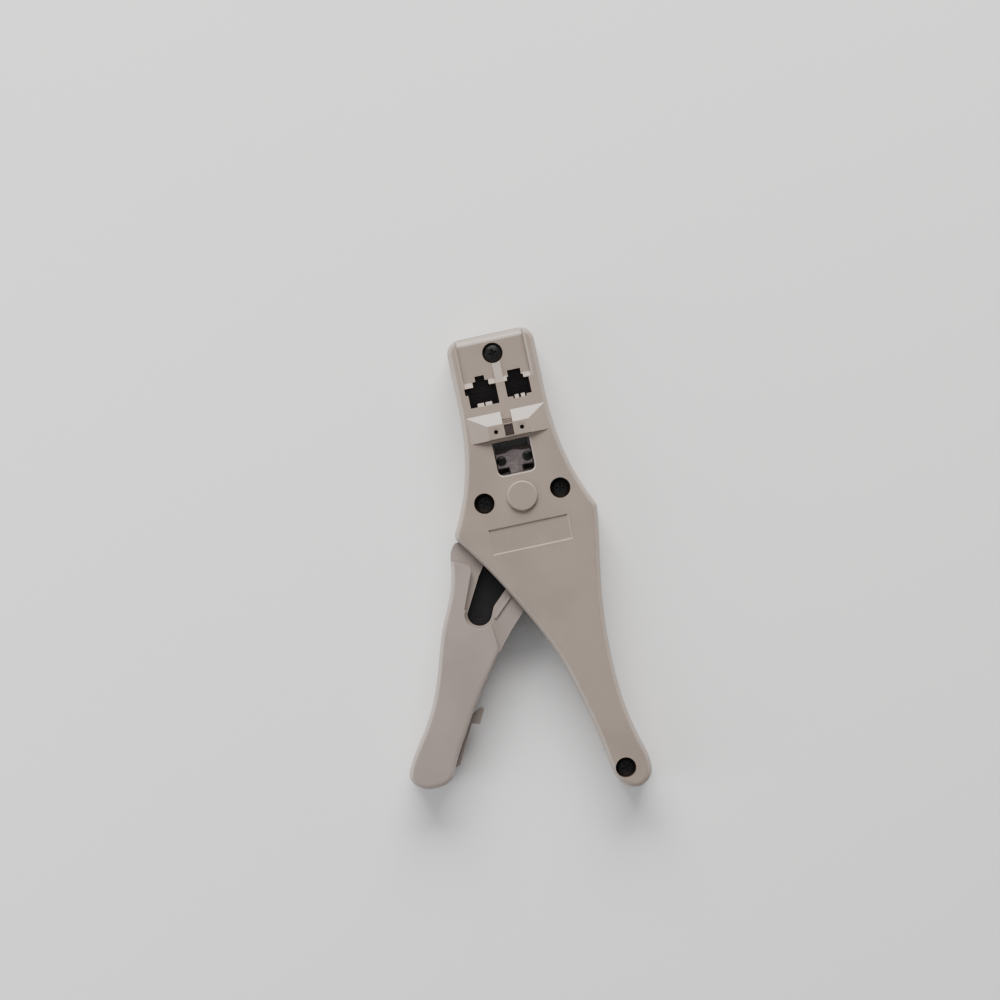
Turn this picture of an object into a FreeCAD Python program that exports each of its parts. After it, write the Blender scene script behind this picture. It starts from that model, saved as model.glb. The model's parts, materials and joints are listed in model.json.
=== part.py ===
"""Modular-plug crimping tool: a two-shell body with a crimping head, and a moving handle that drives a ram.

Frame, in millimetres: the origin is on the rear face, on the axis of the handle's pivot. +Y runs up to the
crimping head and +Z comes out of the front face. Each sub-part is written to parts/NODE.step.
"""

import FreeCAD, Part
import math
import os
from FreeCAD import Vector

# ---- Body shells ----
body_thickness = 22.0
wall = 2.5
head_top = 67.2  # pivot axis to the top edge of the head
head_half_width = 17.9
flank_top = 44.0  # where the head's straight sides start to flare
flank_bend = 2.5  # exponent of the flare
shoulder_y = -9.5
left_shoulder = 30.0
left_shoulder_out = 0.2  # the left corner stands out past the flare's end by this, and lies lower by the next
left_shoulder_drop = 2.2
left_shoulder_radius = 2.0
right_shoulder = 28.9
right_shoulder_radius = 4.0
weld = 0.5  # how far a boss, rib or block is sunk into the wall that it stands on
past = 1.0  # how far a cut runs past the face that it opens
handle_reach = 125.3  # pivot axis to the end of the fixed handle
body_edge_radius = 2.4
head_corner_radius = 5.8
boss_radius = 6.1
boss_rise = 1.5
boss_edge_radius = 0.6
mouth_top = -12.6  # the shells' open edge, where the moving handle enters
mouth_bottom = -67.5
mouth_inset = 1.2  # the mouth's cut reaches this far inside the wall
label_length = 33.0
label_height = 10.4
label_y = -16.1
label_depth = 0.6
label_draft = 0.4

# ---- Crimping head ----
head_wall = 5.1  # shell thickness round the plug sockets
recess_depth = 2.5
recess_half_width = 13.7
recess_start = 47.0
recess_slope = 2.0
rail_radius = 1.3  # rounded inner edges of the rails beside the recess
lip_radius = 3.9
lip_sweep = 72.0  # degrees of the lip's arc
lip_steps = 6
rib_x = 0.75
rib_half_width = 1.7
rib_start = 46.0
rib_end = 55.5
socket_depth = 17.5  # front face to the back of a plug socket
nest_margin = 1.3  # material past the top of the tallest socket
nest_gap = 0.15  # each nest to the plane between them, and to the shells' side walls
nest_face_gap = 0.1
eight_way = {
    "x": -7.05, "floor": 38.7, "width": 11.9, "top": 46.9, "step": 6.6, "step_top": 49.1, "latch_x": 0.0,
    "latch": 3.85, "latch_top": 51.2, "ways": 8, "sill": 38.7, "block": (0.35, 2.95), "block_top": 40.1,
}
six_way = {
    "x": 7.55, "floor": 40.2, "width": 10.0, "top": 46.8, "step": 6.8, "step_top": 48.5, "latch_x": -0.4,
    "latch": 5.4, "latch_top": 51.0, "ways": 6, "sill": 39.2, "block": (0.5, 2.05), "block_top": 40.7,
}
sill_outer = 0.7  # gap outside each pair of sill blocks
side_notch_width = 1.1
side_notch_height = 2.8
side_notch_step = 4.0  # how much shallower the notch is than its socket

# ---- Blade guard ----
guard_x = 0.35  # centre line of the guard, its channel and its pins
guard_rise = 2.4
guard_edge_radius = 0.35
guard_bottom = 24.4
guard_ridge = 30.1
guard_top = 35.1
guard_half_width = 16.1
guard_flat_half_width = 8.4
channel_half_width = 2.1
slot_half_width = 1.85
slot_bottom = 24.9
slot_top = 29.6
ridge_width = 0.35
ridge_height = 0.5
ridge_pitch = 0.7
pin_rim_radius = 1.7  # shallow ring round each pin hole of the guard
pin_rim_depth = 0.15
window_half_width = 7.65
window_bottom = 9.35
window_top = 23.05
window_corner_radius = 2.4
window_chamfer = 0.5
cable_gap_half_width = 6.8
pad_half_width = 9.0
pad_top = 32.0
pad_margin = 0.6  # pad to the counter blade's edges

# ---- Screws of the body ----
screw_places = [(0.25, head_top - 8.0), (-15.7, 0.0), (15.7, 0.0), (18.1, 8.8 - handle_reach)]
screw_head_radius = 3.85
screw_head_height = 2.2
screw_shank_radius = 1.4
screw_seat_depth = 5.4  # front face to the seat under a screw head
counterbore_gap = 0.35
cup_wall = 1.1
column_wall = 1.8
thread_gap = 0.05
through_gap = 0.3
tip_gap = 0.4  # depth of a screw hole past the screw's tip
cross_width = 0.95
cross_length = 4.4
cross_depth = 1.4

# ---- Pivot ----
pin_radius = 3.5
running_gap = 0.05
hub_wall = 2.7
pin_cap = 1.2  # material left past each end of the pin
washer_thickness = 0.3
washer_margin = 0.2

# ---- Moving handle ----
closing_angle = 20.0  # degrees, from open to closed
lever_reach = 108.9  # pivot axis to the end of the moving handle, along Y
root_y = -20.0  # the moving handle's grip starts here
grip_inset = 1.0  # grip faces below the body's faces
tongue_thickness = 13.0
grip_edge_radius = 2.0
seam_gap = 0.4
grip_heel = (-26.0, -24.0)  # inner end of the step between the grip and the tongue
grip_waist = (-32.8, -40.6)  # where the grip's inner edge meets the slot's rim
slot_end = (-27.0, -43.4)
slot_end_radius = 5.0
slot_rim = 1.1
tongue_ridge_height = 0.8
peg_radius = 2.0
peg_reach = 3.0  # past the middle plane, into the lever
peg_root = 6.0  # below the middle plane, into the rear half
peg_gap = 0.1
lever_gap = 0.1
cam_gap = 0.3

# ---- Cam lever and ram ----
lever_thickness = 5.0
cam_radius = 8.0
cam_offset = 10.0  # pivot axis to the cam's own centre
ram_thickness = 6.0
ram_gap = 0.08  # cam to the ram's foot at rest
ram_half_width = 10.0
foot_right = 12.6
foot_left = 4.0
foot_top = 9.9
crosshead_left = -14.0
crosshead_right = 12.5
crosshead_bottom = 30.0
crosshead_top = 33.4
gap_floor = 19.4  # top of the ram's lower plate, under the cable gap
notch_bottom = 10.2  # the two notches of the lower plate, beside the clamp's stem
notch_top = 12.2
notch_margin = 0.5
ram_hub_gap = 0.5
guide_gap = 0.25
guide_width = 1.3
spring_x = 12.7
spring_top = 20.4
spring_radius = 1.7
spring_wire_radius = 0.3
spring_turns = 6.5
spring_seat_gap = 0.02
spring_side_gap = 0.4
ear_thickness = 2.5
ear_reach = 14.9
ledge_height = 2.0

# ---- Blades and dies ----
cutter_edge = 19.9
cutter_thickness = 1.0
cutter_land = 0.15
cutter_bevel = 1.5
clamp_thickness = 1.4
clamp_bottom = 12.6
clamp_side = 18.3
clamp_crown = 19.2
clamp_half_width = 7.2
stem_half_width = 2.5
stem_bottom = 9.0
stem_fillet = 1.0
clamp_screw_x = 5.3
clamp_screw_y = 15.5
clamp_screw_head_radius = 2.0
clamp_screw_head_height = 1.2
clamp_screw_radius = 1.0
clamp_screw_grip = 3.2  # length of thread in the ram
counter_blade_gap = 0.3
counter_blade_thickness = 2.0
counter_pin_x = 5.35
counter_pin_y = 27.3
counter_pin_radius = 0.85
counter_pin_reach = 2.5  # past the counter blade, into the guard
die_thickness = 5.0
die_set_back = 0.5
die_blade_pitch = 1.02
die_blade_width = 0.5
die_blade_height = 2.9
die_base_top = 35.6
die_tang_thickness = 1.6
die_tang_half_width = 3.0
die_tang_margin = 0.4
die_floor_gap = 0.3
die_screw_radius = 0.9
die_screw_grip = 3.2
die_screw_head_radius = 1.7
die_screw_head_height = 1.3
die_screw_slot_width = 0.5
die_screw_slot_depth = 0.6
die_side_gap = 0.35
die_slot_gap = 0.3
presser_top = 38.2
presser_key = 2.0
presser_prong = 1.8
presser_side_gap = 0.2
presser_front_gap = 0.7
presser_lap = 1.0  # length of a presser that is already inside its nest at rest

# ---- Lock lever ----
lock_eye_radius = 1.9
lock_pin_radius = 0.8
lock_thickness = 4.0
lock_swing = 45.0  # degrees, from stowed to hooked
lock_gap = 0.5
lock_side_gap = 0.25
catch_gap = 0.6
catch_side_gap = 0.5
catch_sweep = 11.0  # degrees of the lever's swing, up to its end, in which the hook is at the fixed handle
catch_steps = 7
lock_pin_half_length = 5.8
lock_pin_end_gap = 0.2

# ---- Heights shared by several pieces ----
mid = body_thickness / 2
cavity_floor = wall
cavity_roof = body_thickness - wall
head_roof = body_thickness - head_wall
head_wall_start = presser_top - presser_lap - nest_face_gap
screw_seat = body_thickness - screw_seat_depth
ram_low = mid - ram_thickness / 2
ram_high = mid + ram_thickness / 2
tongue_low = mid - tongue_thickness / 2
tongue_high = mid + tongue_thickness / 2
cutter_high = ram_high + cutter_thickness
clamp_high = cutter_high + clamp_thickness
counter_low = cutter_high + counter_blade_gap
counter_high = counter_low + counter_blade_thickness
die_low = ram_low - die_set_back
die_high = die_low + die_thickness
hub_radius = pin_radius + hub_wall
counterbore_radius = screw_head_radius + counterbore_gap
cup_radius = counterbore_radius + cup_wall
column_radius = screw_shank_radius + column_wall
cam_rest = math.radians(-closing_angle / 2)
foot_bottom = cam_offset * math.sin(cam_rest) + cam_radius + ram_gap


# ---- Drawing helpers ----
def point(x, y, z=0.0):
    return Vector(x, y, z)


def outline(start, *moves):
    """Closed wire at z = 0. A move is a point, ("arc", through, end) or ("curve", points)."""
    here = point(*start)
    edges = []
    for move in moves:
        if move[0] == "arc":
            end = point(*move[2])
            edges.append(Part.Arc(here, point(*move[1]), end).toShape())
        elif move[0] == "curve":
            stations = [here] + [point(*p) for p in move[1]]
            end = stations[-1]
            curve = Part.BSplineCurve()
            curve.interpolate(stations)
            edges.append(curve.toShape())
        else:
            end = point(*move)
            edges.append(Part.makeLine(here, end))
        here = end
    if here.distanceToPoint(point(*start)) > 1e-6:
        edges.append(Part.makeLine(here, point(*start)))
    return Part.Wire(edges)


def slab(wire, low, high):
    face = Part.Face(wire)
    face.translate(point(0, 0, low))
    return face.extrude(point(0, 0, high - low))


def grown(wire, distance):
    """The wire moved outwards by a distance (inwards if negative), its curves made smooth again."""
    edges = []
    for edge in Part.Face(wire).makeOffset2D(distance).OuterWire.OrderedEdges:
        if edge.Curve.TypeId in ("Part::GeomLine", "Part::GeomCircle"):
            edges.append(edge)
            continue
        smooth = Part.BSplineCurve()
        smooth.interpolate(edge.discretize(Number=max(4, int(edge.Length / 6))))
        edges.append(smooth.toShape())
    return Part.Wire(edges)


def block(x0, x1, y0, y1, z0, z1):
    return Part.makeBox(x1 - x0, y1 - y0, z1 - z0, point(x0, y0, z0))


def rod(x, y, radius, low, high):
    return Part.makeCylinder(radius, high - low, point(x, y, low))


def profile_along_x(points, x0, x1):
    """Prism with (y, z) corners, from x0 to x1."""
    wire = Part.makePolygon([point(x0, y, z) for y, z in points + points[:1]])
    return Part.Face(wire).extrude(point(x1 - x0, 0, 0))


def profile_along_y(points, y0, y1):
    """Prism with (x, z) corners, from y0 to y1."""
    wire = Part.makePolygon([point(x, y0, z) for x, z in points + points[:1]])
    return Part.Face(wire).extrude(point(0, y1 - y0, 0))


def turned(shape, degrees, centre=(0.0, 0.0)):
    copy = shape.copy()
    copy.rotate(point(*centre), point(0, 0, 1), degrees)
    return copy


def rounded_corners(solid, corners):
    """Fillets the upright edge nearest each corner, given as (x, y, radius)."""
    for x, y, radius in corners:
        upright = [
            e for e in solid.Edges
            if len(e.Vertexes) == 2
            and math.hypot(e.Vertexes[0].X - e.Vertexes[1].X, e.Vertexes[0].Y - e.Vertexes[1].Y) < 1e-4
        ]
        nearest = min(upright, key=lambda e: math.hypot(e.Vertexes[0].X - x, e.Vertexes[0].Y - y))
        solid = solid.makeFillet(radius, [nearest])
    return solid


def rounded_rim(solid, height, radius):
    """Fillets every edge that lies flat at a height."""
    box_edges = [
        e for e in solid.Edges
        if abs(e.BoundBox.ZMin - height) + abs(e.BoundBox.ZMax - height) < 1e-3
    ]
    return solid.makeFillet(radius, box_edges)


def cross_recess(x, y, top, length, width, depth):
    arms = block(x - length / 2, x + length / 2, y - width / 2, y + width / 2, top - depth, top + 1)
    return arms.fuse(block(x - width / 2, x + width / 2, y - length / 2, y + length / 2,
                           top - depth, top + past))


def only_solid(shape):
    """The one solid left after cuts and fuses, with split faces joined."""
    clean = shape.removeSplitter()
    return max(clean.Solids, key=lambda s: s.Volume)


# ---- Outline of the body ----
def flare(shoulder, y):
    """Half width of the head at a height, flaring down to the shoulder."""
    share = (flank_top - y) / (flank_top - shoulder_y)
    return head_half_width + (shoulder - head_half_width) * share**flank_bend


def left_corner():
    return (-left_shoulder - left_shoulder_out, shoulder_y - left_shoulder_drop)


def down_handle(x, share):
    """A point of the fixed handle, at a share of the way from the shoulders to its end."""
    return (x, shoulder_y - share * (handle_reach + shoulder_y))


handle_left = [
    down_handle(-16.6, 0.193), down_handle(-8.7, 0.315), down_handle(0.6, 0.488),
    down_handle(6.45, 0.661), down_handle(10.8, 0.833),
]
handle_right = [
    down_handle(26.2, 0.833), down_handle(23.0, 0.70), down_handle(21.9, 0.574),
    down_handle(22.1, 0.444), down_handle(24.0, 0.272), down_handle(27.4, 0.098),
]


def body_outline():
    steps = 6
    flare_heights = [flank_top - (flank_top - shoulder_y) * (step + 1) / steps for step in range(steps)]
    left_flank = [(-flare(left_shoulder, y), y) for y in flare_heights]
    right_flank = [(flare(right_shoulder, y), y) for y in reversed(flare_heights[:-1])]
    end_left = down_handle(12.5, 0.92)
    end_right = down_handle(28.5, 0.92)
    right_corner = (right_shoulder, shoulder_y)
    toe = [down_handle(15.2, 0.973), down_handle(21.6, 1.0), down_handle(27.3, 0.97), end_right]
    return outline(
        (-head_half_width, head_top),
        (-head_half_width, flank_top),
        ("curve", left_flank),
        left_corner(),
        ("curve", handle_left + [end_left] + toe + handle_right + [right_corner]),
        ("curve", right_flank + [(head_half_width, flank_top)]),
        (head_half_width, head_top),
    )


def body_slab(low, high):
    """The body's full thickness of plastic between two heights, with its plan corners rounded."""
    solid = slab(body_outline(), low, high)
    return rounded_corners(solid, [
        (-head_half_width, head_top, head_corner_radius),
        (head_half_width, head_top, head_corner_radius),
        (*left_corner(), left_shoulder_radius),
        (right_shoulder, shoulder_y, right_shoulder_radius),
    ])


def left_edge_x(y):
    """Left edge of the fixed handle at a height, by straight steps between its points."""
    stations = [left_corner()] + handle_left
    for (x0, y0), (x1, y1) in zip(stations, stations[1:]):
        if y0 >= y >= y1:
            return x0 + (x1 - x0) * (y - y0) / (y1 - y0)
    return stations[-1][0]


def mouth(low, high):
    """Opening along the lower left edge, from outside the body to just inside its wall."""
    steps = 6
    heights = [mouth_top + (mouth_bottom - mouth_top) * step / steps for step in range(steps + 1)]
    inner = [(left_edge_x(y) + wall + mouth_inset, y) for y in heights]
    outer_x = -2 * left_shoulder
    return slab(outline(inner[0], *inner[1:], (outer_x, mouth_bottom), (outer_x, mouth_top)), low, high)


def cavity(low, high):
    """Hollow inside the body's side walls, open at the mouth."""
    inner = slab(grown(body_outline(), -wall), low, high)
    return inner.fuse(mouth(low, high))


def screw_bosses(low, high):
    """Columns round the screw shanks between two heights, with a wider cup under each head."""
    cup_low = screw_seat - screw_head_height
    bosses = []
    for x, y in screw_places:
        bosses.append(rod(x, y, column_radius, low, high))
        if high > cup_low:
            bosses.append(rod(x, y, cup_radius, cup_low, high))
    return bosses


def spring_ledges(low, high):
    """Stops above the return springs, reaching out to the side walls."""
    reach = flare(right_shoulder, spring_top) - wall / 2
    inner = spring_x - spring_radius - spring_side_gap
    left = block(-reach, -inner, spring_top, spring_top + ledge_height, low, high)
    right = block(inner, reach, spring_top, spring_top + ledge_height, low, high)
    return [left, right]


def ram_guides(low, high):
    inner = ram_half_width + guide_gap
    bottom = spring_top + ledge_height
    top = crosshead_bottom - past
    return [
        block(-inner - guide_width, -inner, bottom, top, low, high),
        block(inner, inner + guide_width, bottom, top, low, high),
    ]


# ---- Plug sockets ----
def socket_outline(way, with_sill):
    """Stepped outline of a plug seen end on. The sill blocks stand up from the floor of the front shell."""
    x = way["x"]
    half, step, latch = way["width"] / 2, way["step"] / 2, way["latch"] / 2
    floor = [(x + half, way["floor"])]
    if with_sill:
        near, far = way["block"]
        outer = far + sill_outer
        for side_points in (
            [(outer, way["floor"]), (outer, way["sill"]), (far, way["sill"]), (far, way["block_top"]),
             (near, way["block_top"]), (near, way["sill"])],
            [(-near, way["sill"]), (-near, way["block_top"]), (-far, way["block_top"]), (-far, way["sill"]),
             (-outer, way["sill"]), (-outer, way["floor"])],
        ):
            for dx, y in side_points:
                corner = (x + dx, y)
                if corner != floor[-1]:
                    floor.append(corner)
    floor.append((x - half, way["floor"]))
    latch_x = x + way["latch_x"]
    return outline(
        *floor,
        (x - half, way["top"]), (latch_x - step, way["top"]), (latch_x - step, way["step_top"]),
        (latch_x - latch, way["step_top"]), (latch_x - latch, way["latch_top"]),
        (latch_x + latch, way["latch_top"]), (latch_x + latch, way["step_top"]),
        (latch_x + step, way["step_top"]), (latch_x + step, way["top"]), (x + half, way["top"]),
    )


def sill_slope(way):
    """Lead-in across the fronts of a socket's sill blocks, at 45 degrees towards the head's top."""
    low = way["sill"]
    height = way["block_top"] - low
    front = body_thickness + past
    far = way["block"][1]
    return profile_along_x(
        [(low, body_thickness), (low + height, body_thickness - height), (low + height, front), (low, front)],
        way["x"] - far, way["x"] + far)


def side_notch(low, high):
    """Small extra notch at the upper outer corner of the eight-way socket."""
    x = eight_way["x"] - eight_way["width"] / 2
    top = eight_way["top"]
    return block(x - side_notch_width, x + past, top - side_notch_height, top, low, high)


# ---- Front shell ----
def blade_guard():
    """Raised hip-roof block over the counter blade, with a centre channel."""
    base = body_thickness - weld
    top = body_thickness + guard_rise
    left, right = guard_x - guard_half_width, guard_x + guard_half_width
    along = profile_along_x(
        [(guard_bottom, base), (guard_bottom, top), (guard_ridge, top), (guard_top, body_thickness),
         (guard_top, base)], left, right)
    across = profile_along_y(
        [(left, base), (left, body_thickness), (guard_x - guard_flat_half_width, top),
         (guard_x + guard_flat_half_width, top), (right, body_thickness), (right, base)],
        guard_bottom, guard_top)
    roof = rounded_rim(along.common(across), top, guard_edge_radius)
    return roof.cut(block(guard_x - channel_half_width, guard_x + channel_half_width,
                          guard_ridge, guard_top + past, body_thickness, top + past))


def channel_ridges():
    """Three small ridges at the foot of the guard's channel."""
    ridges = []
    for step in range(3):
        y = guard_ridge + ridge_width + ridge_pitch * step
        ridges.append(block(guard_x - channel_half_width, guard_x + channel_half_width, y, y + ridge_width,
                            body_thickness - weld, body_thickness + ridge_height))
    return ridges


def head_recess():
    """Shallow panel between the head's side rails, open and rounded over at the top edge."""
    level = body_thickness - recess_depth
    front = body_thickness + past
    lip = head_top - lip_radius
    slope_start = recess_start - recess_slope * past / recess_depth
    arc = [
        (lip + lip_radius * math.sin(a), level - lip_radius * (1 - math.cos(a)))
        for a in (math.radians(lip_sweep * step / lip_steps) for step in range(1, lip_steps + 1))
    ]
    floor = [(slope_start, front), (recess_start + recess_slope, level), (lip, level)] + arc
    end = head_top + past
    return profile_along_x(floor + [(end, arc[-1][1]), (end, front)], -recess_half_width, recess_half_width)


def rail_roundings():
    """What is cut off the inner edge of each rail to leave it round."""
    low = body_thickness - rail_radius
    start, end = recess_start, head_top + past
    cuts = []
    for side in (-1, 1):
        x = side * (recess_half_width + rail_radius)
        corner = block(min(x, side * recess_half_width), max(x, side * recess_half_width), start, end,
                       low, body_thickness + past)
        bar = Part.makeCylinder(rail_radius, end - start, point(x, start, low), point(0, 1, 0))
        cuts.append(corner.cut(bar))
    return cuts


def centre_rib():
    """Rib between the sockets that slopes down into the recess."""
    level = body_thickness - recess_depth
    return profile_along_x(
        [(rib_start, level - weld), (rib_start, body_thickness), (rib_end, level), (rib_end, level - weld)],
        rib_x - rib_half_width, rib_x + rib_half_width)


def label_recess():
    low = body_thickness - label_depth
    pocket = block(-label_length / 2, label_length / 2, label_y - label_height / 2, label_y + label_height / 2,
                   low, body_thickness + past)
    floor_edges = [e for e in pocket.Edges if abs(e.BoundBox.ZMax - low) < 1e-3]
    return pocket.makeChamfer(label_draft, floor_edges)


def window(low, high, grow=0.0):
    half, bottom = window_half_width + grow, window_bottom - grow
    solid = block(-half, half, bottom, window_top, low, high)
    return rounded_corners(solid, [
        (-half, bottom, window_corner_radius + grow), (half, bottom, window_corner_radius + grow),
    ])


def window_bevel():
    """Chamfer round the window where it meets the front face."""
    wide = window(body_thickness - window_chamfer, body_thickness + window_chamfer, 2 * window_chamfer)
    low_edges = [e for e in wide.Edges if abs(e.BoundBox.ZMax - body_thickness + window_chamfer) < 1e-3]
    return wide.makeChamfer(2 * window_chamfer - 0.01, low_edges)


def front_shell():
    shell = rounded_rim(body_slab(mid, body_thickness), body_thickness, body_edge_radius)
    hollow = cavity(mid, cavity_roof).cut(
        block(-head_half_width, head_half_width, head_wall_start, head_top, head_roof, body_thickness))
    shell = shell.cut(hollow)
    inner_end = cavity_roof + weld
    pad = block(guard_x - pad_half_width, guard_x + pad_half_width, window_top, pad_top,
                counter_high, inner_end)
    inner_boss = rod(0, 0, hub_radius, tongue_high + washer_thickness + running_gap, inner_end)
    outer_boss = rod(0, 0, boss_radius, body_thickness - weld, body_thickness + boss_rise)
    outer_boss = rounded_rim(outer_boss, body_thickness + boss_rise, boss_edge_radius)
    inside = screw_bosses(mid, inner_end) + spring_ledges(mid, inner_end) + ram_guides(mid, inner_end)
    shell = shell.fuse([pad, inner_boss, outer_boss, blade_guard()] + channel_ridges() + inside)
    shell = shell.cut([head_recess()] + rail_roundings()).fuse(centre_rib())
    guard_face = body_thickness + guard_rise
    top = guard_face + past
    cuts = [label_recess(), window(mid, top), window_bevel()]
    cuts += [slab(socket_outline(way, True), head_roof - past, top) for way in (eight_way, six_way)]
    cuts += [sill_slope(way) for way in (eight_way, six_way)]
    cuts.append(side_notch(head_roof - past, top))
    cuts.append(block(guard_x - slot_half_width, guard_x + slot_half_width, slot_bottom, slot_top, mid, top))
    cuts.append(rod(0, 0, pin_radius + running_gap, mid, body_thickness - pin_cap + running_gap))
    cuts += counter_pins(counter_pin_radius + thread_gap, mid, top)
    cuts += counter_pins(pin_rim_radius, guard_face - pin_rim_depth, top)
    for x, y in screw_places:
        cuts.append(rod(x, y, counterbore_radius, screw_seat, top))
        cuts.append(rod(x, y, screw_shank_radius + through_gap, mid - past, screw_seat + past))
    cuts.append(lock_catch())
    return only_solid(shell.cut(cuts))


# ---- Rear shell ----
def rear_shell():
    shell = rounded_rim(body_slab(0, mid), 0, body_edge_radius)
    shell = shell.cut(cavity(cavity_floor, mid))
    inner_end = cavity_floor - weld
    inner_boss = rod(0, 0, hub_radius, inner_end, tongue_low - washer_thickness - running_gap)
    inside = screw_bosses(inner_end, mid) + spring_ledges(inner_end, mid) + ram_guides(inner_end, mid)
    shell = shell.fuse([inner_boss] + inside)
    cuts = [rod(0, 0, pin_radius + running_gap, pin_cap - running_gap, mid)]
    cuts.append(block(-cable_gap_half_width, cable_gap_half_width, gap_floor, window_top, -past, mid))
    for x, y in screw_places:
        cuts.append(rod(x, y, screw_shank_radius + thread_gap, wall - tip_gap, mid + past))
    cuts.append(lock_catch())
    return only_solid(shell.cut(cuts))


def shell_screw(x, y):
    head = rod(x, y, screw_head_radius, screw_seat, screw_seat + screw_head_height)
    head = rounded_rim(head, screw_seat + screw_head_height, 0.8)
    shank = rod(x, y, screw_shank_radius, wall, screw_seat)
    recess = cross_recess(x, y, screw_seat + screw_head_height, cross_length, cross_width, cross_depth)
    return head.fuse(shank).cut(recess)


# ---- Pivot ----
def pivot_pin():
    pin = rod(0, 0, pin_radius, pin_cap, body_thickness - pin_cap)
    return pin.makeChamfer(0.4, [e for e in pin.Edges if abs(e.BoundBox.ZLength) < 1e-6])


def pivot_washers():
    rings = []
    for low in (tongue_low - washer_thickness - running_gap, tongue_high + running_gap):
        ring = rod(0, 0, hub_radius - washer_margin, low, low + washer_thickness)
        rings.append(ring.cut(rod(0, 0, pin_radius + running_gap, low - past, low + past)))
    return Part.makeCompound(rings)


# ---- Moving handle ----
def down_grip(x, share):
    """A point of the moving handle, at a share of the way from its root to its end."""
    return (x, root_y - share * (lever_reach + root_y))


def handle_outline():
    """The whole plan of the moving handle at rest: hub, tongue and grip."""
    outer = [down_grip(-34.2, 0.015), down_grip(-37.0, 0.146), down_grip(-42.4, 0.28),
             down_grip(-50.2, 0.54), down_grip(-60.0, 0.755), down_grip(-67.6, 0.888)]
    toe = [down_grip(-68.5, 0.923), down_grip(-66.2, 0.975), down_grip(-58.7, 1.0),
           down_grip(-52.0, 0.975), down_grip(-49.3, 0.921)]
    inner = [down_grip(-43.8, 0.809), down_grip(-36.7, 0.679), down_grip(-27.1, 0.527),
             down_grip(-16.6, 0.378), (-9.1, -46.0)]
    return outline(
        (-5.4, -2.9),
        (-25.5, mouth_top - seam_gap),
        (-31.0, mouth_top - seam_gap - 0.3),
        ("curve", [(-33.4, -17.0)] + outer + toe + inner),
        (5.4, -3.0),
    )


def closed_body(grow):
    """Plan of the body as it lies against the moving handle when closed, in the handle's rest position."""
    return turned(grown(body_outline(), grow), -closing_angle)


def handle_slot(grow):
    """Radial slot in the tongue, with a round end towards the grip."""
    x, y = slot_end
    radius = slot_end_radius
    wire = outline(
        (x - radius * math.cos(math.radians(10)), y + radius * math.sin(math.radians(10))),
        (-24.1, -28.3), (-18.5, -20.5), (-8.5, -28.0), (-14.1, -35.4), (-20.6, -41.6),
        (x + radius * math.cos(math.radians(25)), y - radius * math.sin(math.radians(25))),
        ("arc", (x, y - radius),
         (x - radius * math.cos(math.radians(10)), y + radius * math.sin(math.radians(10)))),
    )
    return grown(wire, grow) if grow else wire


def lever_arm():
    """Plan of the steel lever's arm, from the hub down inside the grip."""
    return outline(
        (-5.2, 3.3), (-25.5, -25.5), (-34.2, -41.5),
        ("curve", [down_grip(-38.4, 0.36), down_grip(-45.6, 0.52), down_grip(-51.5, 0.66)]),
        ("arc", down_grip(-50.4, 0.70), down_grip(-45.8, 0.69)),
        ("curve", [down_grip(-38.6, 0.55), down_grip(-31.2, 0.43), (-20.6, -46.5)]),
        (-10.8, -33.5), (5.4, -3.0),
    )


def pegs():
    return [down_grip(-37.0, 0.45), down_grip(-45.4, 0.60)]


def grip_plan():
    """Plan of the thick grip: the handle outside the closed body, the slot's rim and the heel."""
    heel = outline((-45.0, -14.9), grip_heel, grip_waist, (slot_end[0], grip_waist[1]),
                   (-18.0, grip_heel[1]), (-18.0, 0.0), (-45.0, 0.0))
    cuts = [closed_body(seam_gap), handle_slot(slot_rim), heel]
    plan = Part.Face(handle_outline()).cut([Part.Face(wire) for wire in cuts])
    return max(plan.Faces, key=lambda face: face.Area)


def grip_half(face_height, tongue_face):
    """One half of the plastic handle, from the middle plane to its face, which steps down to the tongue."""
    grip = grip_plan()
    grip.translate(point(0, 0, mid))
    grip = grip.extrude(point(0, 0, face_height - mid))
    edge_line = handle_outline()
    edge_line.translate(point(0, 0, face_height))
    rim = [
        e for e in grip.Edges
        if abs(e.CenterOfMass.z - face_height) < 1e-3
        and Part.Vertex(e.valueAt((e.FirstParameter + e.LastParameter) / 2)).distToShape(edge_line)[0] < 1e-3
    ]
    grip = grip.makeFillet(grip_edge_radius, rim)
    low, high = min(mid, tongue_face), max(mid, tongue_face)
    solid = grip.fuse([slab(handle_outline(), low, high), rod(0, 0, hub_radius, low, high)])
    pocket_low, pocket_high = mid - lever_thickness / 2, mid + lever_thickness / 2
    return solid.cut([
        slab(handle_slot(0), 0, body_thickness),
        slab(grown(lever_arm(), lever_gap), pocket_low, pocket_high),
        rod(0, 0, hub_radius + lever_gap, pocket_low, pocket_high),
        cam_nose(cam_gap, pocket_low, pocket_high),
        rod(0, 0, pin_radius + running_gap, 0, body_thickness),
        lock_room(),
        lock_rod(lock_pin_radius + running_gap, lock_pin_half_length + lock_pin_end_gap),
    ])


def handle_front():
    solid = grip_half(body_thickness - grip_inset, tongue_high)
    ridge = slab(outline((-21.4, -46.0), (-13.9, -38.9), (-13.3, -39.5), (-20.8, -46.6)),
                 tongue_high - weld, tongue_high + tongue_ridge_height)
    solid = solid.fuse([ridge] + [rod(x, y, peg_radius, mid - peg_root, mid + peg_reach) for x, y in pegs()])
    return only_solid(solid)


def handle_rear():
    solid = grip_half(grip_inset, tongue_low)
    holes = [rod(x, y, peg_radius + peg_gap, mid - peg_root - peg_gap, mid + past) for x, y in pegs()]
    return only_solid(solid.cut(holes))


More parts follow.
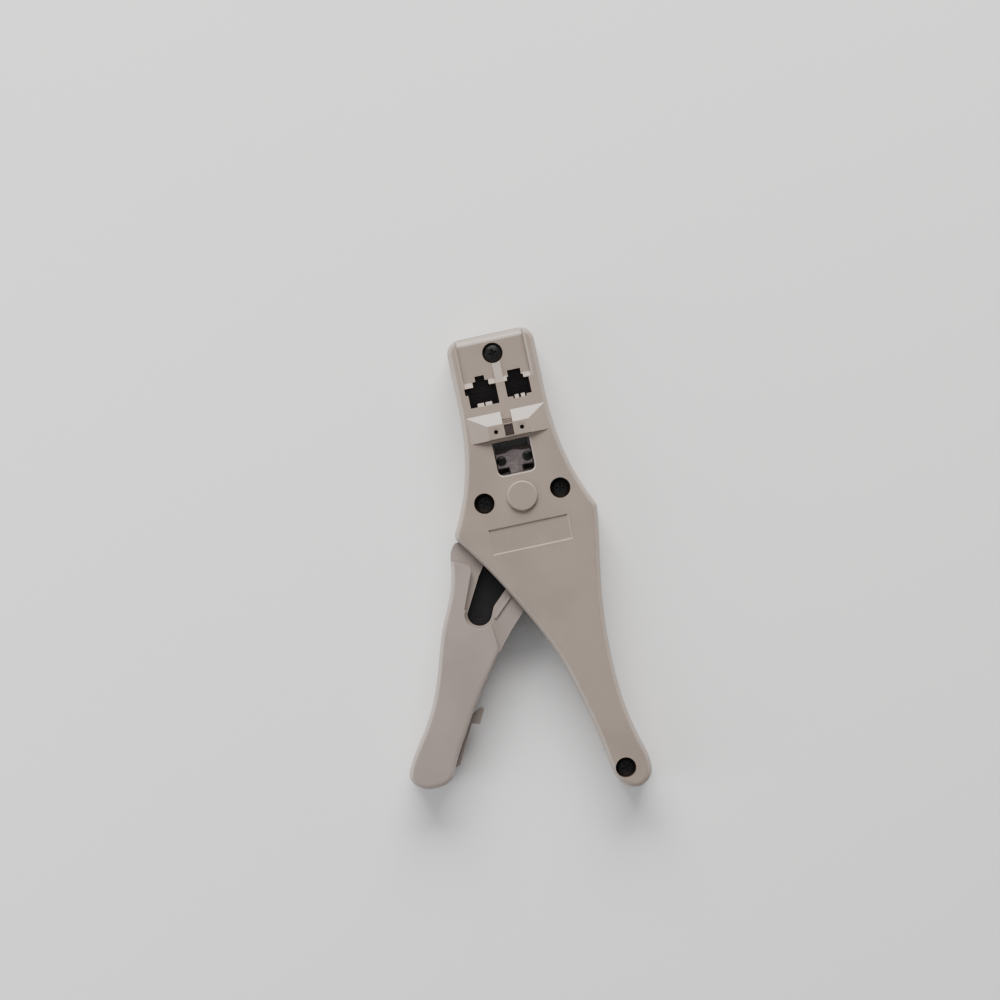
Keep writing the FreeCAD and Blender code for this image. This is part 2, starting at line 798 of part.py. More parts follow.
# ---- Cam lever ----
def cam_nose(grow, low, high):
    """Eccentric nose beside the hub: its round top pushes the ram's foot."""
    cx, cy = cam_offset * math.cos(cam_rest), cam_offset * math.sin(cam_rest)
    radius = cam_radius + grow

    def rim(degrees):
        a = math.radians(degrees)
        return (cx + radius * math.cos(a), cy + radius * math.sin(a))

    return slab(outline((0, 0), rim(96 + grow * 4), ("arc", rim(80), rim(63 - grow * 4)), (5.6 + grow, -3.4)),
                low, high)


def cam_lever():
    low, high = mid - lever_thickness / 2, mid + lever_thickness / 2
    solid = slab(lever_arm(), low, high).fuse([rod(0, 0, hub_radius, low, high), cam_nose(0, low, high)])
    cuts = [rod(0, 0, pin_radius + running_gap, low - past, high + past)]
    cuts += [rod(x, y, peg_radius + peg_gap, low - past, high + past) for x, y in pegs()]
    return only_solid(solid.cut(cuts))


# ---- Lock lever ----
def lock_hinge():
    return down_grip(-50.9, 0.915)


def lock_outline():
    """Plan of the lock lever when stowed along the handle's inner edge: eye, strip and hook."""
    x, y = lock_hinge()
    return outline(
        (x, y - lock_eye_radius), down_grip(-47.6, 0.925), down_grip(-39.4, 0.749),
        down_grip(-36.2, 0.760), down_grip(-33.2, 0.694), down_grip(-34.4, 0.685), down_grip(-39.2, 0.714),
        down_grip(-48.4, 0.905), (x, y + lock_eye_radius),
    )


def lock_lever():
    low, high = mid - lock_thickness / 2, mid + lock_thickness / 2
    x, y = lock_hinge()
    solid = slab(lock_outline(), low, high).fuse(rod(x, y, lock_eye_radius, low, high))
    return only_solid(solid.cut(lock_rod(lock_pin_radius + running_gap, lock_thickness)))


def lock_room():
    """Slot in the grip that the lock lever swings in."""
    low, high = mid - lock_thickness / 2 - lock_side_gap, mid + lock_thickness / 2 + lock_side_gap
    x, y = lock_hinge()
    stowed = slab(grown(lock_outline(), lock_gap), low, high)
    swung = turned(stowed, -lock_swing / 2, (x, y)).fuse(turned(stowed, -lock_swing, (x, y)))
    return stowed.fuse([swung, rod(x, y, lock_eye_radius + lock_gap, low, high)])


def lock_catch():
    """Room in the fixed handle's edge for the hook's last stretch of swing, in the closed position."""
    low, high = mid - lock_thickness / 2 - catch_side_gap, mid + lock_thickness / 2 + catch_side_gap
    hook = slab(grown(lock_outline(), catch_gap), low, high)
    swept = [turned(hook, -lock_swing + catch_sweep * step / catch_steps, lock_hinge())
             for step in range(catch_steps + 1)]
    return turned(swept[0].fuse(swept[1:]), closing_angle)


def lock_rod(radius, half_length):
    return rod(*lock_hinge(), radius, mid - half_length, mid + half_length)


# ---- Ram ----
def ram():
    lower = block(-ram_half_width, ram_half_width, foot_bottom, crosshead_top, ram_low, ram_high)
    aperture = block(-cable_gap_half_width, cable_gap_half_width, gap_floor, crosshead_bottom,
                     0, body_thickness)
    foot = block(foot_left, foot_right, foot_bottom, foot_top, ram_low, ram_high)
    crosshead = block(crosshead_left, crosshead_right, crosshead_bottom, crosshead_top, ram_low, ram_high)
    ears = [
        block(-ear_reach, -ram_half_width, foot_top - ear_thickness, foot_top, ram_low, ram_high),
        block(ram_half_width, ear_reach, foot_top - ear_thickness, foot_top, ram_low, ram_high),
    ]
    solid = lower.fuse([foot, crosshead] + ears)
    cuts = [aperture, rod(0, 0, hub_radius + ram_hub_gap, 0, body_thickness)]
    inner, outer = stem_half_width + notch_margin, window_half_width - notch_margin
    cuts += [block(min(side * inner, side * outer), max(side * inner, side * outer),
                   notch_bottom, notch_top, 0, body_thickness) for side in (-1, 1)]
    for side in (-1, 1):
        cuts.append(rod(side * clamp_screw_x, clamp_screw_y, clamp_screw_radius + thread_gap,
                        ram_high - clamp_screw_grip - tip_gap, ram_high + past))
    for way in (eight_way, six_way):
        cuts.append(block(way["x"] - presser_half(way), way["x"] + presser_half(way),
                          crosshead_top - presser_key, crosshead_top + past, die_high, ram_high + past))
        cuts.append(rod(way["x"], die_screw_y(), die_screw_radius + thread_gap,
                        ram_low - past, ram_low + die_screw_grip + tip_gap))
    return only_solid(solid.cut(cuts))


def spring(x):
    """One return spring between the ram's ear and the ledge in the shells."""
    low = foot_top + spring_wire_radius + spring_seat_gap
    high = spring_top - spring_wire_radius - spring_seat_gap
    pitch = (high - low) / spring_turns
    helix = Part.makeHelix(pitch, high - low, spring_radius)
    section = Part.Wire(Part.makeCircle(spring_wire_radius, point(spring_radius, 0, 0), point(0, 1, 0)))
    coil = Part.Wire(helix.Edges).makePipeShell([section], True, True)
    coil.rotate(point(0, 0, 0), point(1, 0, 0), -90)
    coil.translate(point(x, low, mid))
    return coil


# ---- Cutter ----
def cutter_blade():
    """Flat steel blade with a ground edge, in front of the ram."""
    body = profile_along_x(
        [(clamp_bottom, ram_high), (cutter_edge, ram_high), (cutter_edge, ram_high + cutter_land),
         (cutter_edge - cutter_bevel, cutter_high), (clamp_bottom, cutter_high)],
        -clamp_half_width, clamp_half_width)
    holes = [rod(side * clamp_screw_x, clamp_screw_y, clamp_screw_radius + thread_gap, 0, body_thickness)
             for side in (-1, 1)]
    return only_solid(body.cut(holes))


def blade_clamp():
    """Clamp plate over the blade: convex top edge, two screw holes and a stem with a notch on either side."""
    half, stem, fillet = clamp_half_width, stem_half_width, stem_fillet
    crown = half / 2
    bend = fillet * (1 - math.sqrt(0.5))
    plate = slab(outline(
        (-stem, stem_bottom), (stem, stem_bottom), (stem, clamp_bottom - fillet),
        ("arc", (stem + bend, clamp_bottom - bend), (stem + fillet, clamp_bottom)),
        (half, clamp_bottom), (half, clamp_side), (crown, clamp_side),
        ("arc", (0, clamp_crown), (-crown, clamp_side)),
        (-half, clamp_side), (-half, clamp_bottom), (-stem - fillet, clamp_bottom),
        ("arc", (-stem - bend, clamp_bottom - bend), (-stem, clamp_bottom - fillet)),
    ), cutter_high, clamp_high)
    holes = [rod(side * clamp_screw_x, clamp_screw_y, clamp_screw_radius + thread_gap, 0, body_thickness)
             for side in (-1, 1)]
    return only_solid(plate.cut(holes))


def clamp_screw(x):
    top = clamp_high + clamp_screw_head_height
    head = rod(x, clamp_screw_y, clamp_screw_head_radius, clamp_high, top)
    shank = rod(x, clamp_screw_y, clamp_screw_radius, ram_high - clamp_screw_grip, clamp_high)
    share = clamp_screw_head_radius / screw_head_radius
    recess = cross_recess(x, clamp_screw_y, top,
                          cross_length * share, cross_width * share, cross_depth * share)
    return head.fuse(shank).cut(recess)


def counter_pins(radius, low, high):
    return [rod(guard_x + side * counter_pin_x, counter_pin_y, radius, low, high) for side in (-1, 1)]


def counter_blade():
    """Fixed steel plate behind the guard that the cutter shears against."""
    half = pad_half_width - pad_margin
    plate = block(guard_x - half, guard_x + half, window_top, pad_top - pad_margin, counter_low, counter_high)
    return only_solid(plate.cut(counter_pins(counter_pin_radius + thread_gap, 0, body_thickness)))


def counter_blade_pins():
    return Part.makeCompound(counter_pins(counter_pin_radius, counter_low, counter_high + counter_pin_reach))


# ---- Nests and dies ----
def nest(way, left, right):
    """Dark lining behind a plug opening: a pocket for the plug, with a slot in its floor for the dies."""
    top = max(eight_way["latch_top"], six_way["latch_top"]) + nest_margin
    bottom = presser_top - presser_lap
    body = block(left, right, bottom, top, wall + nest_face_gap, head_roof - nest_face_gap)
    back = body_thickness - socket_depth
    cuts = [slab(socket_outline(way, False), back, body_thickness)]
    if way is eight_way:
        cuts.append(side_notch(back + side_notch_step, body_thickness))
    half = way["width"] / 2 - die_side_gap + die_slot_gap
    slot_low = ram_low - die_tang_thickness - die_floor_gap
    cuts.append(block(way["x"] - half, way["x"] + half, bottom - past, way["floor"] + past,
                      slot_low, body_thickness))
    return only_solid(body.cut(cuts))


def die_screw_y():
    return (crosshead_bottom + crosshead_top) / 2


def contact_die(way):
    """Crimping die: a row of blades on a base, with a tang behind the ram's crosshead."""
    half = way["width"] / 2 - die_side_gap
    base = block(way["x"] - half, way["x"] + half, crosshead_top, die_base_top, die_low, die_high)
    tang = block(way["x"] - die_tang_half_width, way["x"] + die_tang_half_width,
                 crosshead_bottom + die_tang_margin, die_base_top, ram_low - die_tang_thickness, ram_low)
    first = way["x"] - die_blade_pitch * (way["ways"] - 1) / 2
    blades = []
    for index in range(way["ways"]):
        x = first + index * die_blade_pitch
        blades.append(block(x - die_blade_width / 2, x + die_blade_width / 2, die_base_top - weld,
                            die_base_top + die_blade_height, die_low, die_high))
    solid = base.fuse([tang] + blades)
    return only_solid(solid.cut(rod(way["x"], die_screw_y(), die_screw_radius + through_gap, 0, ram_low)))


def presser_half(way):
    return way["block"][1] + sill_outer - presser_side_gap


def strain_presser(way):
    """Pusher in front of the contact die: three prongs that press the plug's strain relief bar."""
    half = presser_half(way)
    high = head_roof - presser_front_gap
    body = block(way["x"] - half, way["x"] + half, crosshead_top, presser_top, die_high, high)
    key = block(way["x"] - half, way["x"] + half, crosshead_top - presser_key, crosshead_top,
                die_high, ram_high)
    near, far = way["block"]
    gaps = [block(way["x"] + min(side * near, side * far), way["x"] + max(side * near, side * far),
                  presser_top - presser_prong, presser_top + past, 0, body_thickness) for side in (-1, 1)]
    return only_solid(body.fuse(key).cut(gaps))


def die_screw(x):
    y = die_screw_y()
    seat = ram_low - die_tang_thickness
    low = seat - die_screw_head_height
    head = rod(x, y, die_screw_head_radius, low, seat)
    shank = rod(x, y, die_screw_radius, seat, ram_low + die_screw_grip)
    slot = block(x - die_screw_head_radius, x + die_screw_head_radius,
                 y - die_screw_slot_width / 2, y + die_screw_slot_width / 2, low, low + die_screw_slot_depth)
    return head.fuse(shank).cut(slot)


# ---- All sub-parts ----
def sub_parts():
    return {
        "front_shell": front_shell(),
        "rear_shell": rear_shell(),
        "shell_screws": Part.makeCompound([shell_screw(x, y) for x, y in screw_places]),
        "pivot_pin": pivot_pin(),
        "pivot_washers": pivot_washers(),
        "handle_front": handle_front(),
        "handle_rear": handle_rear(),
        "cam_lever": cam_lever(),
        "lock_lever": lock_lever(),
        "lock_pin": lock_rod(lock_pin_radius, lock_pin_half_length),
        "ram": ram(),
        "ram_springs": Part.makeCompound([spring(-spring_x), spring(spring_x)]),
        "cutter_blade": cutter_blade(),
        "blade_clamp": blade_clamp(),
        "clamp_screws": Part.makeCompound([clamp_screw(-clamp_screw_x), clamp_screw(clamp_screw_x)]),
        "counter_blade": counter_blade(),
        "counter_blade_pins": counter_blade_pins(),
        "eight_way_nest": nest(eight_way, -head_half_width + wall + nest_gap, rib_x - nest_gap),
        "six_way_nest": nest(six_way, rib_x + nest_gap, head_half_width - wall - nest_gap),
        "eight_way_contact_die": contact_die(eight_way),
        "six_way_contact_die": contact_die(six_way),
        "eight_way_strain_presser": strain_presser(eight_way),
        "six_way_strain_presser": strain_presser(six_way),
        "die_screws": Part.makeCompound([die_screw(eight_way["x"]), die_screw(six_way["x"])]),
    }


os.makedirs("parts", exist_ok=True)
for name, shape in sub_parts().items():
    if not shape.isValid():
        raise ValueError("broken solid: " + name)
    shape.exportStep("parts/" + name + ".step")
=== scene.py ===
# %% [markdown]
# # A modular-plug crimping tool
# The CAD frame brings every rigid part at its true size and place. This lesson gives those parts their looks:
# moulded plastic with softened edges, blackened and plated steel, and the small repeated hardware, which is
# made with Geometry Nodes. All lengths are in metres, in the frame's own axes: +Y runs up to the crimping head
# and +Z comes out of the front face.

# %% Load the frame
import json
import math

import bmesh
import bpy
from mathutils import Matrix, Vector


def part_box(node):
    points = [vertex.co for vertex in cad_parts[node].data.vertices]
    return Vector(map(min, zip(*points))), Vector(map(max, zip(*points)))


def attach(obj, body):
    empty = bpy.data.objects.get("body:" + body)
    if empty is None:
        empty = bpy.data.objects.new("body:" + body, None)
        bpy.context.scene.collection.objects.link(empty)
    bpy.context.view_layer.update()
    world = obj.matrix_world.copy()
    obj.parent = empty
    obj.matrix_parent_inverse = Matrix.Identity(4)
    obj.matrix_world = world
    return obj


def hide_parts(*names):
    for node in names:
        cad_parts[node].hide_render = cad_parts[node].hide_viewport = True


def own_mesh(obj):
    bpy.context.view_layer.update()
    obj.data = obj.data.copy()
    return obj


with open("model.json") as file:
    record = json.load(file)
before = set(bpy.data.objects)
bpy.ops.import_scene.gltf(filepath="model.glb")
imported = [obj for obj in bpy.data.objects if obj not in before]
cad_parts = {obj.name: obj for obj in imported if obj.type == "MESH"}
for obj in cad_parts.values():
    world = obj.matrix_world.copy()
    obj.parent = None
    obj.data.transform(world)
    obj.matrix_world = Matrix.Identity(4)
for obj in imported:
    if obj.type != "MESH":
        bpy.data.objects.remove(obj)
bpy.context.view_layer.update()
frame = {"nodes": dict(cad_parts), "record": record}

MM = 0.001
print("frame nodes:", len(frame["nodes"]))


# %% Small helpers for node trees
def feed(node, **values):
    """Sets a node's properties, such as operation or blend_type."""
    for key, value in values.items():
        setattr(node, key, value)
    return node


def place(tree, kind, settings=None, inputs=None):
    """Adds a node. An input's value is a number, a colour or another node's output."""
    node = feed(tree.nodes.new(kind), **(settings or {}))
    for socket, value in (inputs or {}).items():
        if isinstance(value, bpy.types.NodeSocket):
            tree.links.new(value, node.inputs[socket])
        else:
            node.inputs[socket].default_value = value
    return node


def math_node(tree, operation, a, b=0.0):
    return place(tree, "ShaderNodeMath", {"operation": operation}, {0: a, 1: b}).outputs[0]


def remap(tree, value, low, high, to_low=0.0, to_high=1.0, smooth=True):
    """Maps a range onto another, held at its ends."""
    blend = "SMOOTHSTEP" if smooth else "LINEAR"
    node = place(tree, "ShaderNodeMapRange", {"clamp": True, "interpolation_type": blend},
                 {"Value": value, "From Min": low, "From Max": high, "To Min": to_low, "To Max": to_high})
    return node.outputs["Result"]


def mix_colour(tree, factor, a, b, blend="MIX"):
    node = place(tree, "ShaderNodeMix", {"data_type": "RGBA", "blend_type": blend})
    for socket, value in ((0, factor), (6, a), (7, b)):
        if isinstance(value, bpy.types.NodeSocket):
            tree.links.new(value, node.inputs[socket])
        else:
            node.inputs[socket].default_value = value
    return node.outputs[2]


def new_group(name, inputs, outputs):
    """Shader node group with named float inputs and outputs. Returns the group and its two end nodes."""
    group = bpy.data.node_groups.new(name, "ShaderNodeTree")
    for label, default in inputs.items():
        socket = group.interface.new_socket(label, in_out="INPUT", socket_type="NodeSocketFloat")
        socket.default_value = default
    for label in outputs:
        group.interface.new_socket(label, in_out="OUTPUT", socket_type="NodeSocketFloat")
    return group, group.nodes.new("NodeGroupInput"), group.nodes.new("NodeGroupOutput")


def use_group(tree, group, **values):
    node = tree.nodes.new("ShaderNodeGroup")
    node.node_tree = group
    for label, value in values.items():
        node.inputs[label.replace("_", " ")].default_value = value
    return node


# %% [markdown]
# ## Effects that several finishes share
# Three effects turn up on most parts: the fine spark-eroded grain of a mould, edges made paler by handling wear
# and by a painted highlight, and dust that settles on faces that look up. Each one could be drawn again in every
# material, but a node group is built once and then tuned by its inputs. The wear and highlight mask reads the
# surface's tilt: these parts are flat mouldings, so only their rounded edges lean between facing the front and
# facing sideways.

# %% Mould grain
def make_mould_grain():
    """Fine pebble height, and a slow cloud that shifts the colour a little."""
    group, given, result = new_group("mould grain", {"Pebble Size mm": 0.22, "Cloud Size mm": 22.0},
                                     ["Height", "Cloud"])
    where = place(group, "ShaderNodeTexCoord").outputs["Object"]
    pebbles_per_metre = math_node(group, "DIVIDE", 1000.0, given.outputs["Pebble Size mm"])
    clouds_per_metre = math_node(group, "DIVIDE", 1000.0, given.outputs["Cloud Size mm"])
    pebbles = place(group, "ShaderNodeTexNoise", None,
                    {"Vector": where, "Scale": pebbles_per_metre, "Detail": 3.0, "Roughness": 0.6})
    cloud = place(group, "ShaderNodeTexNoise", None,
                  {"Vector": where, "Scale": clouds_per_metre, "Detail": 2.0, "Roughness": 0.5})
    group.links.new(pebbles.outputs["Fac"], result.inputs["Height"])
    group.links.new(cloud.outputs["Fac"], result.inputs["Cloud"])
    return group


mould_grain = make_mould_grain()
print("group:", mould_grain.name)


# %% Rubbed edges and painted edge highlight
def make_edge_rub_and_highlight():
    """Mask that is 1 on rounded edges, broken up by noise, and 0 on flat faces and side walls."""
    group, given, result = new_group("edge rub and highlight", {"Break Up": 0.35, "Patch Size mm": 4.0}, ["Rub"])
    tilt = place(group, "ShaderNodeSeparateXYZ", None,
                 {0: place(group, "ShaderNodeNewGeometry").outputs["Normal"]}).outputs["Z"]
    steepness = math_node(group, "ABSOLUTE", tilt)
    leaves_flat = remap(group, steepness, 0.99, 0.90)
    leaves_wall = remap(group, steepness, 0.05, 0.35)
    rounded = math_node(group, "MULTIPLY", leaves_flat, leaves_wall)
    where = place(group, "ShaderNodeTexCoord").outputs["Object"]
    patches_per_metre = math_node(group, "DIVIDE", 1000.0, given.outputs["Patch Size mm"])
    patches = place(group, "ShaderNodeTexNoise", None,
                    {"Vector": where, "Scale": patches_per_metre, "Detail": 4.0})
    broken = math_node(group, "MULTIPLY", math_node(group, "SUBTRACT", patches.outputs["Fac"], 0.5),
                       given.outputs["Break Up"])
    # This mask marks the rounded edges that are painted paler: partly handling wear, partly a painted highlight.
    wear_and_highlight_mask = place(group, "ShaderNodeMath", {"operation": "ADD", "use_clamp": True},
                {0: rounded, 1: math_node(group, "MULTIPLY", broken, rounded)})
    group.links.new(wear_and_highlight_mask.outputs[0], result.inputs["Rub"])
    return group


edge_rub_and_highlight = make_edge_rub_and_highlight()
print("group:", edge_rub_and_highlight.name)


# %% Settled dust
def make_settled_dust():
    """Thin speckled film on faces that look up."""
    group, given, result = new_group("settled dust", {"Amount": 0.3, "Speck Size mm": 0.5}, ["Dust"])
    tilt = place(group, "ShaderNodeSeparateXYZ", None,
                 {0: place(group, "ShaderNodeNewGeometry").outputs["Normal"]}).outputs["Z"]
    where = place(group, "ShaderNodeTexCoord").outputs["Object"]
    specks_per_metre = math_node(group, "DIVIDE", 1000.0, given.outputs["Speck Size mm"])
    specks = place(group, "ShaderNodeTexNoise", None,
                   {"Vector": where, "Scale": specks_per_metre, "Detail": 6.0, "Roughness": 0.7})
    faces_up = remap(group, tilt, 0.3, 1.0)
    film = math_node(group, "MULTIPLY", faces_up, remap(group, specks.outputs["Fac"], 0.5, 0.75))
    group.links.new(math_node(group, "MULTIPLY", film, given.outputs["Amount"]), result.inputs["Dust"])
    return group


settled_dust = make_settled_dust()
print("group:", settled_dust.name)


# %% [markdown]
# ## Finishes
# Every finish is a Principled BSDF whose colour, roughness and normal come from the shared groups. Values that
# are the same all over, such as specular level, are typed straight into the shader, because an exported model
# loses them when they arrive through a link.

# %% A material with its shader
def new_finish(name):
    material = bpy.data.materials.new(name)
    material.use_nodes = True
    tree = material.node_tree
    shader = tree.nodes["Principled BSDF"]
    return material, tree, shader


def bump(tree, shader, height, distance):
    node = place(tree, "ShaderNodeBump", None, {"Height": height, "Distance": distance, "Strength": 1.0})
    tree.links.new(node.outputs["Normal"], shader.inputs["Normal"])


# %% [markdown]
# ### Satin moulded plastic
# The shells and grips are warm beige-grey ABS from a spark-eroded mould, which leaves a fine satin grain. A
# flat colour with one roughness looks like paint, so the colour drifts by a few percent, the grain lifts the
# surface by some hundredths of a millimetre, and the rounded edges are smoother from handling and painted paler,
# partly as handling wear and partly as a painted highlight.

# %% Moulded ABS
abs_roughness = 0.40
abs_grain_mm = 0.03
cloud_darker = 0.93
cloud_lighter = 1.05
edge_wear_and_highlight = 0.45
dust_colour = (0.62, 0.60, 0.57, 1.0)


def moulded_abs(name, colour, edge_colour):
    material, tree, shader = new_finish(name)
    grain = use_group(tree, mould_grain, Pebble_Size_mm=0.26, Cloud_Size_mm=24.0)
    wear_and_highlight_mask = use_group(tree, edge_rub_and_highlight, Break_Up=0.5, Patch_Size_mm=3.0)
    dust = use_group(tree, settled_dust, Amount=0.10, Speck_Size_mm=0.6)
    darker = tuple(c * cloud_darker for c in colour[:3]) + (1.0,)
    lighter = tuple(c * cloud_lighter for c in colour[:3]) + (1.0,)
    base = mix_colour(tree, remap(tree, grain.outputs["Cloud"], 0.35, 0.65), darker, lighter)
    # Rounded edges mixed towards the paler edge colour: partly handling wear, partly a painted highlight.
    worn_and_highlit = mix_colour(tree, math_node(tree, "MULTIPLY", wear_and_highlight_mask.outputs["Rub"], edge_wear_and_highlight), base, edge_colour)
    dusty = mix_colour(tree, dust.outputs["Dust"], worn_and_highlit, dust_colour)
    tree.links.new(dusty, shader.inputs["Base Color"])
    speckled = remap(tree, grain.outputs["Height"], 0.3, 0.7, abs_roughness - 0.05, abs_roughness + 0.07)
    smoothed = math_node(tree, "SUBTRACT", speckled, math_node(tree, "MULTIPLY", wear_and_highlight_mask.outputs["Rub"], 0.10))
    tree.links.new(smoothed, shader.inputs["Roughness"])
    shader.inputs["Specular IOR Level"].default_value = 0.5
    bump(tree, shader, grain.outputs["Height"], abs_grain_mm * MM)
    return material


# The second colour of each finish is the paler edge colour: handling wear plus a painted highlight.
abs_body = moulded_abs("beige abs", (0.266, 0.210, 0.172, 1.0), (0.50, 0.43, 0.38, 1.0))
abs_grip = moulded_abs("beige grip abs", (0.272, 0.222, 0.197, 1.0), (0.50, 0.43, 0.39, 1.0))
print("finishes:", abs_body.name, "and", abs_grip.name)


# %% [markdown]
# ### Dark filled plastic
# The plug nests are black glass-filled plastic. It has faint streaks where the melt ran, which stretched noise
# gives: the texture is squeezed along one axis by a Mapping node.

# %% Nest plastic
def filled_plastic(name):
    material, tree, shader = new_finish(name)
    where = place(tree, "ShaderNodeTexCoord").outputs["Object"]
    squeezed = place(tree, "ShaderNodeMapping", None, {"Vector": where, "Scale": (300.0, 1500.0, 300.0)})
    streaks = place(tree, "ShaderNodeTexNoise", None,
                    {"Vector": squeezed.outputs[0], "Scale": 1.0, "Detail": 4.0})
    colour = mix_colour(tree, remap(tree, streaks.outputs["Fac"], 0.35, 0.7),
                        (0.055, 0.044, 0.047, 1.0), (0.120, 0.100, 0.105, 1.0))
    tree.links.new(colour, shader.inputs["Base Color"])
    tree.links.new(remap(tree, streaks.outputs["Fac"], 0.3, 0.7, 0.42, 0.62), shader.inputs["Roughness"])
    bump(tree, shader, streaks.outputs["Fac"], 0.02 * MM)
    return material


nest_plastic = filled_plastic("dark nest plastic")


# %% [markdown]
# ### Steels
# Nine steels differ in colour and in how their surface was finished. Ground steel has long fine scratches one
# way, zinc plate has a cloudy spangle, and black oxide is dark with worn high edges. Every steel's rounded edges
# are lightened, partly as wear and partly as a painted highlight. One function takes the colours, the roughness
# and the stretch of the scratches, so each steel is one call.

# %% Steel finishes
scratch_depth_mm = 0.006


def steel(name, dark, light, rough, streak_scale, metallic=1.0, wear_and_highlight_amount=0.4):
    material, tree, shader = new_finish(name)
    where = place(tree, "ShaderNodeTexCoord").outputs["Object"]
    stretched = place(tree, "ShaderNodeMapping", None, {"Vector": where, "Scale": streak_scale})
    scratches = place(tree, "ShaderNodeTexNoise", None,
                      {"Vector": stretched.outputs[0], "Scale": 1.0, "Detail": 5.0, "Roughness": 0.65})
    wear_and_highlight_mask = use_group(tree, edge_rub_and_highlight, Break_Up=0.9, Patch_Size_mm=1.2)
    base = mix_colour(tree, remap(tree, scratches.outputs["Fac"], 0.35, 0.65), dark, light)
    # Rounded edges mixed towards a brighter colour: partly wear, partly a painted highlight, strongest on the plated
    # clamp.
    bright = tuple(min(1.0, c * 1.7 + 0.05) for c in light[:3]) + (1.0,)
    worn_and_highlit = mix_colour(tree, math_node(tree, "MULTIPLY", wear_and_highlight_mask.outputs["Rub"], wear_and_highlight_amount), base, bright)
    tree.links.new(worn_and_highlit, shader.inputs["Base Color"])
    tree.links.new(remap(tree, scratches.outputs["Fac"], 0.3, 0.7, rough - 0.08, rough + 0.10),
                   shader.inputs["Roughness"])
    shader.inputs["Metallic"].default_value = metallic
    bump(tree, shader, scratches.outputs["Fac"], scratch_depth_mm * MM)
    return material


ground_steel = steel("ground tool steel", (0.22, 0.20, 0.20, 1), (0.34, 0.31, 0.31, 1), 0.36, (250, 4000, 900))
dark_steel = steel("tempered blade steel", (0.38, 0.30, 0.285, 1), (0.50, 0.40, 0.38, 1), 0.42,
                   (250, 4000, 900), metallic=0.25)
zinc_plate = steel("zinc plate", (0.11, 0.10, 0.10, 1), (0.19, 0.175, 0.175, 1), 0.44, (700, 700, 700))
clamp_plate = steel("plated clamp steel", (0.18, 0.15, 0.148, 1), (0.32, 0.275, 0.27, 1), 0.36,
                    (500, 2500, 700), wear_and_highlight_amount=0.8)
black_oxide = steel("black oxide", (0.004, 0.004, 0.004, 1), (0.011, 0.010, 0.010, 1), 0.34,
                    (1200, 1200, 1200), metallic=0.4, wear_and_highlight_amount=0.2)
black_lever = steel("blackened lever plate", (0.004, 0.0035, 0.004, 1), (0.010, 0.009, 0.0095, 1), 0.48,
                    (300, 2200, 500), metallic=0.4, wear_and_highlight_amount=0.3)
bright_pin = steel("turned pin steel", (0.45, 0.45, 0.45, 1), (0.62, 0.61, 0.60, 1), 0.24, (900, 900, 5000))
spring_wire = steel("spring wire", (0.30, 0.30, 0.30, 1), (0.45, 0.44, 0.44, 1), 0.30, (2500, 2500, 2500))
hard_die = steel("hardened die steel", (0.26, 0.25, 0.24, 1), (0.40, 0.38, 0.37, 1), 0.32, (3000, 400, 900))
print("steels ready")


# %% [markdown]
# ### Natural acetal
# The two thrust washers are milky acetal. A little subsurface scattering gives its waxy depth, which a plain
# white lacks.

# %% Washer plastic
def acetal(name):
    material, tree, shader = new_finish(name)
    grain = use_group(tree, mould_grain, Pebble_Size_mm=0.15, Cloud_Size_mm=3.0)
    colour = mix_colour(tree, grain.outputs["Cloud"], (0.70, 0.68, 0.62, 1.0), (0.80, 0.79, 0.75, 1.0))
    tree.links.new(colour, shader.inputs["Base Color"])
    tree.links.new(remap(tree, grain.outputs["Height"], 0.3, 0.7, 0.35, 0.5), shader.inputs["Roughness"])
    shader.inputs["Subsurface Weight"].default_value = 0.15
    shader.inputs["Subsurface Scale"].default_value = 0.001
    bump(tree, shader, grain.outputs["Height"], 0.01 * MM)
    return material


washer_acetal = acetal("natural acetal")


# %% [markdown]
# ## Give each CAD part its finish
# A CAD part keeps its mesh and only its material slots change. The table reads like a parts list, and the
# pieces made below take their finish from it too.

# %% Finish table
finishes = {
    "front_shell": abs_body, "rear_shell": abs_body, "handle_front": abs_grip, "handle_rear": abs_grip,
    "lock_lever": abs_grip, "shell_screws": black_oxide, "clamp_screws": black_oxide,
    "counter_blade_pins": black_oxide, "die_screws": black_oxide, "cam_lever": black_lever,
    "pivot_pin": bright_pin, "lock_pin": bright_pin, "pivot_washers": washer_acetal,
    "ram": zinc_plate, "blade_clamp": clamp_plate, "ram_springs": spring_wire,
    "cutter_blade": ground_steel, "counter_blade": dark_steel,
    "eight_way_nest": nest_plastic, "six_way_nest": nest_plastic,
    "eight_way_contact_die": hard_die, "six_way_contact_die": hard_die,
    "eight_way_strain_presser": hard_die, "six_way_strain_presser": hard_die,
}
for node_name, finish in finishes.items():
    part = frame["nodes"][node_name]
    if not part.material_slots:
        part.data.materials.append(finish)
    for slot in part.material_slots:
        slot.material = finish
print("finished parts:", len(finishes))

# %% Which body a part belongs to
body_of_node = {node: body for body, nodes in frame["record"]["behaviour"]["bodies"].items() for node in nodes}


def stand_in(name, mesh, node_name):
    """Links a finished mesh as the piece that stands for a CAD part, on the same body."""
    piece = bpy.data.objects.new(name, mesh)
    bpy.context.collection.objects.link(piece)
    if not mesh.materials:
        mesh.materials.append(finishes[node_name])
    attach(piece, body_of_node[node_name])
    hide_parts(node_name)
    return piece


